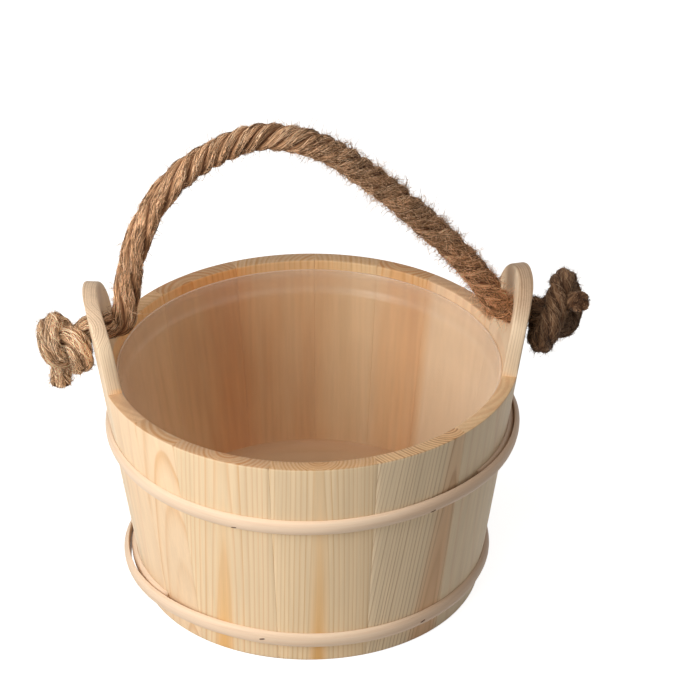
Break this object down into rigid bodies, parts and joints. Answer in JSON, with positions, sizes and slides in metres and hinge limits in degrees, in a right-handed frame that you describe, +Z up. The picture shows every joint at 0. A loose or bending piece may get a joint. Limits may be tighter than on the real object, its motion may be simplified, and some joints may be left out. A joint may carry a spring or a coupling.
{
  "type": "sauna bucket",
  "caption": "Flared pail of upright pine staves with lapped wooden hoops, two tall bored ears, a drop-in milky plastic tub and a knotted rope handle that swings.",
  "frame": {"origin": "centre of the whole object's box in plan, on the surface the bucket stands on, which is also the bucket's own axis to within 2 mm", "axes": "+Z up along the bucket's axis, +X through the right ear's rope hole, so that the handle turns about X"},
  "size_m": [0.3381, 0.2598, 0.316],
  "materials": {
    "pine_pale": "smooth turned, untreated",
    "pine_grey": "smooth turned, untreated",
    "pine_honey": "smooth turned, untreated",
    "pine_pink": "smooth turned, untreated",
    "pine_bottom": "planed, untreated",
    "hoop_wood": "half-round, satin",
    "liner_plastic": "milky translucent, glossy",
    "rope_jute": "hairy laid jute"
  },
  "bodies": {
    "bucket": {"stave_ear_left": "pine_pale", "stave_ear_right": "pine_pale", "stave_front_1": "pine_grey", "stave_front_2": "pine_honey", "stave_front_3": "pine_pale", "stave_front_4": "pine_grey", "stave_front_5": "pine_honey", "stave_front_6": "pine_pale", "stave_back_1": "pine_pink", "stave_back_2": "pine_pale", "stave_back_3": "pine_honey", "stave_back_4": "pine_pink", "stave_back_5": "pine_pale", "stave_back_6": "pine_honey", "bottom_board_1": "pine_bottom", "bottom_board_2": "pine_bottom", "bottom_board_3": "pine_bottom", "upper_hoop": "hoop_wood", "lower_hoop": "hoop_wood"},
    "liner": {"liner": "liner_plastic"},
    "handle": {"rope_handle": "rope_jute"}
  },
  "joints": [
    {"name": "handle_swing", "type": "hinge", "parent": "bucket", "child": "handle", "pos_m": [0, 0, 0.181], "axis": [1, 0, 0], "range_deg": [-98, 98]},
    {"name": "liner_lift", "type": "slide", "parent": "bucket", "child": "liner", "axis": [0, 0, 1], "range_m": [0, 0.007]}
  ]
}
